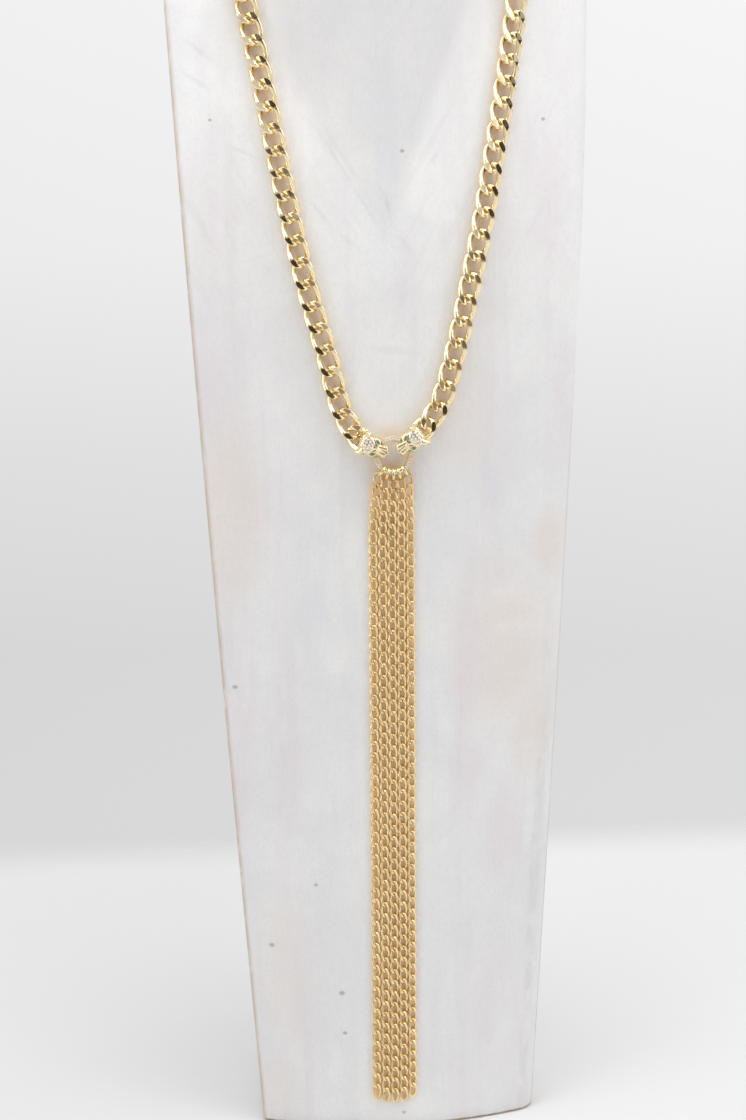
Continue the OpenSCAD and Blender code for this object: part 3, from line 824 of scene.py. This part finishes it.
def build_clasp():
    left_end, right_end = LEFT_PLACES[-1], RIGHT_PLACES[-1]
    mid = (left_end[0] + right_end[0]) / 2
    r, h = CLASP_R, CLASP_HALF
    half = [
        (0.0, r), (0.3, r), (0.45, r - 0.25), (0.75, r - 0.25), (0.9, r), (4.9, r), (5.05, r - 0.2),
        (5.35, r - 0.2), (5.5, r), (h - 0.8, r), (h - 0.35, r - 0.15), (h - 0.1, r - 0.45), (h, r - 0.8),
    ]
    profile = [(-x, y) for x, y in half[:0:-1]] + half
    parts = [put(turned(profile), mid, *np.eye(3)), put_link(LINK, left_end), put_link(LINK, right_end)]
    piece("clasp_barrel", parts, CHAIN_GOLD, ["clasp"], sharp=30)


# -------------------- ring and its stones
def brilliant(long, wide, high, pointed=False):
    """A cut stone with a table, stars and kites over a girdle, standing on z = 0."""
    def ring(n, shift, size, z):
        t = 2 * np.pi * (np.arange(n) + shift) / n
        y = signed_power(np.sin(t), 1.45) if pointed else np.sin(t)
        return np.stack([size * long / 2 * np.cos(t), size * wide / 2 * y, np.full(n, z)], 1)

    rings = [ring(16, 0, 0.86, 0), ring(16, 0, 1, 0.22 * high), ring(16, 0, 1, 0.34 * high),
             ring(8, 0.5, 0.82, 0.7 * high), ring(8, 0, 0.58, high)]
    points = np.concatenate(rings)
    faces = [tuple(range(16))[::-1]] + grid_faces(3, 16)
    girdle, kite, table = 32, 48, 56
    for i in range(8):
        g0, g1, g2 = girdle + 2 * i, girdle + 2 * i + 1, girdle + (2 * i + 2) % 16
        k0, k_before = kite + i, kite + (i - 1) % 8
        t0, t1 = table + i, table + (i + 1) % 8
        faces += [(g0, g1, k0), (g1, g2, k0), (t0, k0, t1), (t0, k_before, g0, k0)]
    faces.append(tuple(range(table, table + 8)))
    return outward(points, faces)


def at_ring(angle):
    """Frame of a head: out from the ring, to the side, and to the front."""
    out = ring_dir(angle)
    return RING_MID, out, np.array([-out[2], 0, out[0]]), np.array([0.0, -1, 0])


def head_value(r, column):
    return np.interp(r, HEAD_ROWS[:, 0], HEAD_ROWS[:, column])


def crown(r, v):
    half = head_value(r, 1)
    mid = (head_value(r, 2) + head_value(r, 3)) / 2
    high = (head_value(r, 2) - head_value(r, 3)) / 2
    return mid + high * (1 - np.minimum(np.abs(v) / half, 1) ** HEAD_POWER) ** (1 / HEAD_POWER)


def crown_facing(r, v):
    return unit(np.array([
        crown(r - 0.2, v) - crown(r + 0.2, v), crown(r, v - 0.2) - crown(r, v + 0.2), 0.4
    ]))


def tilt_to(n):
    """Directions of a frame whose z is n, turned from the upright one by the shortest way."""
    turn = math.atan2(n[1], n[0])
    lean = Matrix.Rotation(math.acos(min(n[2], 1)), 3, "Y")
    m = np.array(Matrix.Rotation(turn, 3, "Z") @ lean @ Matrix.Rotation(-turn, 3, "Z"))
    return m[:, 0], m[:, 1], m[:, 2]


def on_crown(part, r, v, lift):
    n = crown_facing(r, v)
    return put(part, np.array([r, v, crown(r, v)]) + lift * n, *tilt_to(n))


SMALL_STONE = brilliant(STONE_D, STONE_D, 0.4 * STONE_D)


def bead(radius):
    bm = bmesh.new()
    bmesh.ops.create_icosphere(bm, subdivisions=2, radius=radius)
    return from_bmesh(bm)


def ring_point(angle, r, y):
    return RING_MID + r * ring_dir(angle) + np.array([0, y, 0])


def build_ring():
    grain = bead(0.19)
    runs, setting = [], []
    for first, last, count in RING_STONE_RUNS:
        stones = []
        angles = np.linspace(first, last, count)
        for angle in angles:
            at = ring_point(angle, RING_R, -RING_BAR - STONE_GAP)
            stones.append(put(SMALL_STONE, at, (1, 0, 0), (0, 0, 1), (0, -1, 0)))
        runs.append(stones)
        gap = angles[1] - angles[0]
        for angle in np.arange(first - gap / 2, last + gap, gap):
            for r in (RING_R - 0.48, RING_R + 0.48):
                setting.append(put(grain, ring_point(angle, r, -RING_BAR - 0.02), *np.eye(3)))
        for r in (RING_R - 0.72, RING_R + 0.72):
            line = [ring_point(a, r, -RING_BAR + 0.16) for a in np.linspace(first - gap, last + gap, 60)]
            setting.append(wire_along(line, 0.15, 8))
    piece("ring_stones_top", runs[0], CLEAR, ["pave_ring"], sharp=1)
    piece("ring_stones_low", runs[1] + runs[2], RING_STONE, ["pave_ring"], sharp=1)
    piece("ring_setting", setting, HEAD_GOLD, sharp=40)


# -------------------- cat heads
def melted(a, b, k):
    """The field of two forms joined with a soft edge of width k."""
    h = np.clip(0.5 + 0.5 * (b - a) / k, 0, 1)
    return mix(b, a, h) - k * h * (1 - h)


def carved(a, b, k):
    """The field of the first form with the second cut out of it, with a soft edge."""
    return -melted(-a, b, k)


def ellipsoid(p, middle, radii):
    q = np.sqrt(sum(((p[i] - middle[i]) / radii[i]) ** 2 for i in range(3)))
    return (q - 1) * min(radii)


def capsule(p, a, b, ra, rb):
    a, b = np.asarray(a, float), np.asarray(b, float)
    d = b - a
    t = np.clip(sum((p[i] - a[i]) * d[i] for i in range(3)) / (d @ d), 0, 1)
    return np.sqrt(sum((p[i] - a[i] - t * d[i]) ** 2 for i in range(3))) - mix(ra, rb, t)


def head_loft(p):
    rows = curve(HEAD_ROWS)
    half, top, bottom = (np.interp(p[0], rows[:, 0], rows[:, k]) for k in (1, 2, 3))
    mid, high = (top + bottom) / 2, (top - bottom) / 2
    q = (np.abs(p[1]) / half) ** HEAD_POWER + (np.abs(p[2] - mid) / high) ** HEAD_POWER
    body = (q ** (1 / HEAD_POWER) - 1) * np.minimum(half, high)
    return carved(carved(body, p[0] - 2.42, 0.3), 15.05 - p[0], 0.2)


def head_field(p):
    """How far each point is outside the head, about. The head is the same on both sides."""
    shell = head_loft(p)
    ear_roots = [((12.5, 3.3, 3.1), 1.2), ((12.9, 3.9, 2.2), 1.15)]
    ears = [capsule(p, root, (14, 4.7, 4.4), r, 0.72) for root, r in ear_roots]
    mouth = np.maximum(np.maximum(np.abs(p[2] - 0.28) - 0.17, -(shell + 0.75)), p[0] - 8.3)
    collar = np.sqrt((p[0] - 14.35) ** 2 + (shell + 0.1) ** 2) - 0.36
    ring = np.sqrt((np.sqrt(p[0] ** 2 + p[1] ** 2) - RING_R) ** 2 + p[2] ** 2) - RING_BAR
    fur_cuts = [((r - 0.9, 4.2, 1.5), (r + 0.7, 4.55, -0.6), 0.17, 0.12) for r in (9.9, 11.05, 12.2)]
    whisker_pits = [(3.5, 1.9, 2.75), (4.3, 2.15, 2.55), (5.1, 1.9, 2.75), (3.9, 2.5, 2.1)]
    forms = [
        # nose, cheek, brow, the fold under the eye, muzzle and the tip of the nose
        (melted, capsule(p, (4.2, 0, 2.4), (8.2, 0, 3.3), 0.6, 0.8), 0.5),
        (melted, ellipsoid(p, (8.6, 3.35, 1.0), (2.1, 1.05, 1.7)), 0.8),
        (melted, capsule(p, (7.5, 0.95, 3.62), (9.7, 3.0, 3.35), 0.42, 0.4), 0.3),
        (melted, capsule(p, (7.0, 2.5, 2.35), (9.0, 3.75, 1.9), 0.42, 0.38), 0.35),
        (melted, capsule(p, (4, 1.2, 1.55), (6.4, 0.95, 2.3), 1.5, 1.1), 0.22),
        (melted, ellipsoid(p, (3.0, 0, 2.62), (0.75, 0.92, 0.5)), 0.14),
        # groove of the lips, nostril and mouth
        (carved, capsule(p, (2.2, 0, 0.5), (2.45, 0, 2.05), 0.2, 0.16), 0.12),
        (carved, capsule(p, (2.35, 0.5, 2.62), (2.7, 0.42, 2.72), 0.16, 0.12), 0.08),
        (carved, mouth, 0.12),
        # chin, ear and its hollow
        (melted, capsule(p, (3.4, 0, -0.75), (5.0, 0, -1.6), 0.75, 1.0), 0.3),
        (melted, melted(*ears, 0.5), 0.35),
        (carved, ellipsoid(p, (12.75, 4.75, 4.25), (0.9, 0.85, 1.05)), 0.15),
        (melted, collar, 0.12),
    ]
    forms += [(carved, capsule(p, *cut), 0.12) for cut in fur_cuts]
    forms += [(carved, ellipsoid(p, pit, (0.16, 0.16, 0.3)), 0.06) for pit in whisker_pits]
    forms.append((carved, ring - BITE_GAP + 0.05, 0.06))
    f = shell
    for joined, form, blend in forms:
        f = joined(f, form, blend)
    return f


def surface(field, low, step):
    """The surface where a field on a grid changes sign: one point in each cell that it crosses."""
    total, count, quads = np.zeros((field.size, 3)), np.zeros(field.size), []
    for axis in range(3):
        along_it, b, c = np.roll(np.eye(3, dtype=int), -axis, 0)
        at = np.argwhere(np.diff(field < 0, axis=axis))
        one, two = field[tuple(at.T)], field[tuple((at + along_it).T)]
        crossing = at + (one / (one - two))[:, None] * along_it
        round_it = [np.ravel_multi_index(tuple((at - d).T), field.shape) for d in (b + c, c, 0 * c, b)]
        for cell in round_it:
            np.add.at(total, cell, crossing)
            np.add.at(count, cell, 1)
        cells = np.stack(round_it, 1)
        quads.append(np.where((one < 0)[:, None], cells, cells[:, ::-1]))
    used = np.flatnonzero(count)
    number = np.zeros(field.size, int)
    number[used] = np.arange(len(used))
    points = low + step * total[used] / count[used][:, None]
    return points, number[np.concatenate(quads)].tolist()


def head_mesh(step):
    """The head's form in its own frame, made on one side and mirrored."""
    low, high = np.array([1.9, 0, -3.9]), np.array([15.6, 6.4, 5.6])
    axes = [np.arange(low[i], high[i], step) for i in range(3)]
    p = np.meshgrid(*axes, indexing="ij")
    half = head_field(p)
    whole = np.concatenate([half[:, :0:-1], half], 1)
    return surface(whole, np.array([low[0], -axes[1][-1], low[2]]), step)


def eye_rim():
    """A wire round an eye stone, in the stone's frame."""
    t = np.linspace(0, 2 * np.pi, 48, endpoint=False)
    line = np.stack([1.3 * np.cos(t), 0.8 * signed_power(np.sin(t), 1.3), 0 * t + 0.1], 1)
    return wire_along(line, 0.17, 8, closed=True, toward=(0, 0, 1))


def on_eye(part, side, lift):
    """A mesh put on one eye of a head, slanting as the eye does."""
    a = math.radians(side * EYE_TURN)
    x, y = (math.cos(a), math.sin(a), 0), (-math.sin(a), math.cos(a), 0)
    return on_crown(put(part, np.zeros(3), x, y, (0, 0, 1)), EYE_R, side * EYE_V, lift)


CROWN_PLACES = [(r, CROWN_STEP * (i - (count - 1) / 2)) for r, count in CROWN_ROWS for i in range(count)]


def crown_beads():
    """Grains of metal that hold the small stones, between each two that stand side by side."""
    grain, parts = bead(0.17), []
    for (r0, v0), (r1, v1) in itertools.combinations(CROWN_PLACES, 2):
        if math.hypot(r1 - r0, v1 - v0) < 1.6:
            parts.append(on_crown(grain, (r0 + r1) / 2, (v0 + v1) / 2, 0.2))
    return parts


def build_heads():
    form = head_mesh(0.12)
    eye = brilliant(2.3, 1.3, 0.7, pointed=True)
    fittings = [on_eye(eye_rim(), eye_side, 0.05) for eye_side in (1, -1)] + crown_beads()
    for side, angle, place, first_eye in (("left", LEFT_ANGLE, LEFT_PLACES[0], 1),
                                          ("right", RIGHT_ANGLE, RIGHT_PLACES[0], 3)):
        at = at_ring(angle)
        settings = [put(f, *at) for f in fittings]
        piece("cat_head_form_" + side, [put(form, *at)], HEAD_GOLD, ["cat_head_" + side])
        piece("cat_head_settings_" + side, settings, HEAD_GOLD, sharp=50)
        piece("collar_link_" + side, [put_link(LINK, place)], CHAIN_GOLD, sharp=30)
        stones = [put(on_crown(SMALL_STONE, r, v, STONE_GAP), *at) for r, v in CROWN_PLACES]
        piece("crown_stones_" + side, stones, CLEAR, ["pave_" + side], sharp=1)
        for number, eye_side in ((first_eye, 1), (first_eye + 1, -1)):
            part = put(on_eye(eye, eye_side, STONE_GAP), *at)
            node = "eye_stone_%d" % number
            piece("green_eye_%d" % number, [part], GREEN, [node], sharp=1)


# -------------------- fringe
FRINGE_PITCH, FRINGE_WIRE, FRINGE_HALF_W, FRINGE_TWIST, FRINGE_POWER = 4.78, 1.07, 1.38, 50, 2.5
FRINGE_FLAT, FRINGE_LINK_R, FRINGE_STEP_OUT = 1.05, 8.65, 0.8
FRINGE_HALF_L = (FRINGE_PITCH + FRINGE_WIRE + 0.12) / 2
FRINGE_LINK = curb_link(
    FRINGE_HALF_L, FRINGE_HALF_W, FRINGE_POWER, FRINGE_TWIST, FRINGE_WIRE, FRINGE_FLAT, 36, 10)
ROLL_LENGTHS, ROLL_HEIGHTS = (9.1, 5.3, 2.7), (3.5, 2.5, 3.0)
STRAND_LIE = 1.18  # the strands lie a little nearer to the bust than the CAD's, which are thicker


def hang_point(i, r):
    """The point below the ring's middle, at this distance, from which strand i hangs."""
    return RING_MID + r * ring_dir(RING_ANGLES[i] - 90)


def strand_line(i):
    """Points down one strand, from where its first link hangs in its jump ring."""
    start = hang_point(i, STRAND_START_R)
    low = STRAND_END_Z + STRAND_END_RISE * (i - 2) ** 2
    points = [hang_point(i, FRINGE_LINK_R)]
    for z in np.arange(start[2] - 0.5, low - 0.5, -0.5):
        t = smooth((start[2] - z) / STRAND_SPREAD_Z)
        x = mix(start[0], FRINGE_X + (i - 2) * STRAND_PITCH, t)
        y = mix(start[1], front_y(x, z) - STRAND_LIE, t)
        points.append(np.array([x, y - (i % 2) * FRINGE_STEP_OUT * (1 - t), z]))
    return np.array(points)


def strand_links(i):
    """The links of one strand, each with a small made-up roll."""
    points = strand_line(i)
    marks = marks_of(points)
    room = marks[-1] - 2 * FRINGE_HALF_L
    count = int(room / FRINGE_PITCH) + 1
    roll = np.radians(wave(np.arange(count), 20 + i, ROLL_LENGTHS, ROLL_HEIGHTS))
    parts = []
    for k in range(count):
        s = FRINGE_HALF_L + room / (count - 1) * k
        way = unit(along(points, marks, s + 1.5) - along(points, marks, s - 1.5))
        raw = np.array([math.sin(roll[k]), -math.cos(roll[k]), 0])
        facing = unit(raw - (raw @ way) * way)
        parts.append(put_link(FRINGE_LINK, (along(points, marks, s), way, facing)))
    return parts


def build_fringe():
    for i in range(5):
        node = "fringe_chain_%d" % (i + 1)
        piece("fringe_strand_%d" % (i + 1), strand_links(i), FRINGE_GOLD, [node], sharp=35)


# -------------------- floor, lights, world and camera
def build_floor():
    """A pale floor that fades out into the backdrop, with painted light toward the right and painted shade
    toward the front.
    """
    m = Paint("pale_floor")
    x, y, _ = m.split()
    base = m.mix(m.noise(3, 2, 0.5), (0.80, 0.80, 0.80), (0.84, 0.84, 0.84))
    # Painted light: paler toward the right, lifting the shade that the bust casts there.
    base = m.gain(base, m.step(x, -0.09, 0.11), (1.07, 1.07, 1.07))
    # Painted shade: darker toward the front, where the floor is otherwise lit more.
    base = m.gain(base, m.step(y, 0.09, -0.05), (0.91, 0.91, 0.91))
    behind, before = m.step(y, 0.285, 0.36), m.step(y, -1.2, -1.7)
    gone = m.most((behind, before, m.step(m.calc("ABSOLUTE", x), 1.1, 1.7)))
    m.set(Base_Color=base, Roughness=0.75, Alpha=m.calc("SUBTRACT", 1.0, gone))
    mesh = bpy.data.meshes.new("floor")
    mesh.from_pydata([(-2, -2, 0), (2, -2, 0), (2, 0.5, 0), (-2, 0.5, 0)], [], [(0, 1, 2, 3)])
    mesh.materials.append(m.material)
    new_object("floor", mesh)


# Name, place, target, width and height, power
SOFTBOXES = [
    ("softbox_left", (-0.95, -0.55, 0.75), (0, 0, 0.3), (0.7, 1.1), 2.7),
    ("softbox_right", (0.95, -0.5, 0.7), (0, 0, 0.3), (0.7, 1.1), 2.6),
    ("softbox_top", (0, -0.35, 1.45), (0, 0, 0.25), (1.2, 0.8), 9.0),
]


def build_lights():
    for name, place, target, size, power in SOFTBOXES:
        light = bpy.data.lights.new(name, "AREA")
        light.shape = "RECTANGLE"
        light.size, light.size_y = size
        light.energy = power
        obj = new_object(name, light)
        obj.location = place
        obj.rotation_euler = (Vector(target) - Vector(place)).to_track_quat("-Z", "Y").to_euler()
        obj.visible_camera = False


ROOM_TONE, GROUND_TONE, DARK_TONE = (0.66, 0.66, 0.665), (0.30, 0.21, 0.13), (0.055, 0.04, 0.025)
DARK_MID, DARK_WIDE, DARK_HIGH, DARK_LEAN = (-0.02, 0, 0.18), 0.6, 0.235, 10
BACKDROP_TONES = [(0.0, 0.70), (0.11, 0.70), (0.26, 0.69), (0.47, 0.755), (0.69, 0.855), (1.0, 0.905)]


def build_world():
    """The backdrop that the camera sees, and the room that lights the object and that metal reflects."""
    world = bpy.data.worlds.new("studio")
    bpy.context.scene.world = world
    world.use_nodes = True
    m = Nodes(world.node_tree, "Generated")
    x, y, z = m.split()
    # What the metal reflects in front of the object is dark, as where a photographer stands. It is
    # an oval, wider than high, that leans down to the right, and under it is a brown ground.
    front = m.step(y, -0.3, -0.6)
    away = m.length(m.lying(DARK_MID, math.radians(DARK_LEAN), (DARK_WIDE, FLAT, DARK_HIGH)))
    grounded = m.mix(m.times(m.step(z, 0.02, -0.08), front), ROOM_TONE, GROUND_TONE)
    room = m.mix(m.times(m.step(away, 1.2, 0.8), front), grounded, DARK_TONE)
    # The backdrop is paler upward, and a little paler toward the right.
    stops = [(at, (tone, tone, tone * 1.01)) for at, tone in BACKDROP_TONES]
    tones = {0: m.ramp(m.span(z, -0.35, 0.15), stops), "Scale": m.span(x, -0.12, 0.3, 0.978, 1.03)}
    backdrop = m.node("ShaderNodeVectorMath", tones, operation="SCALE").outputs[0]
    seen = m.node("ShaderNodeLightPath").outputs["Is Camera Ray"]
    m.feed(world.node_tree.nodes["Background"].inputs[0], m.mix(seen, room, backdrop))


CAMERA_PLACE, CAMERA_YAW, CAMERA_PITCH, CAMERA_ROLL = (-69.4, -762, 371), 5, 10, -0.45
FOCAL_PIXELS, PHOTO_PIXELS, SENSOR = 1850, 1120, 36


def build_camera():
    """The photograph's view: 746 by 1120 pixels with a focal length of 1850 pixels."""
    camera = bpy.data.cameras.new("camera")
    camera.sensor_width = SENSOR
    camera.lens = SENSOR * FOCAL_PIXELS / PHOTO_PIXELS
    camera.clip_start, camera.clip_end = 0.05, 50
    obj = new_object("camera", camera)
    obj.matrix_world = Matrix.Translation(Vector(CAMERA_PLACE) * MM)
    for degrees, axis in ((-CAMERA_YAW, "Z"), (90 - CAMERA_PITCH, "X"), (CAMERA_ROLL, "Z")):
        obj.matrix_world = obj.matrix_world @ Matrix.Rotation(math.radians(degrees), 4, axis)
    bpy.context.scene.camera = obj
    bpy.context.scene.view_settings.view_transform = "Standard"


build_camera()
build_world()
build_lights()
build_floor()
build_bust()
build_chain()
build_clasp()
build_ring()
build_heads()
build_fringe()
for name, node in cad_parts.items():
    if name == "drop_ring" or name.startswith("fringe_ring"):
        node.data.materials.clear()
        node.data.materials.append(DROP_RING_GOLD if name == "drop_ring" else RING_GOLD)
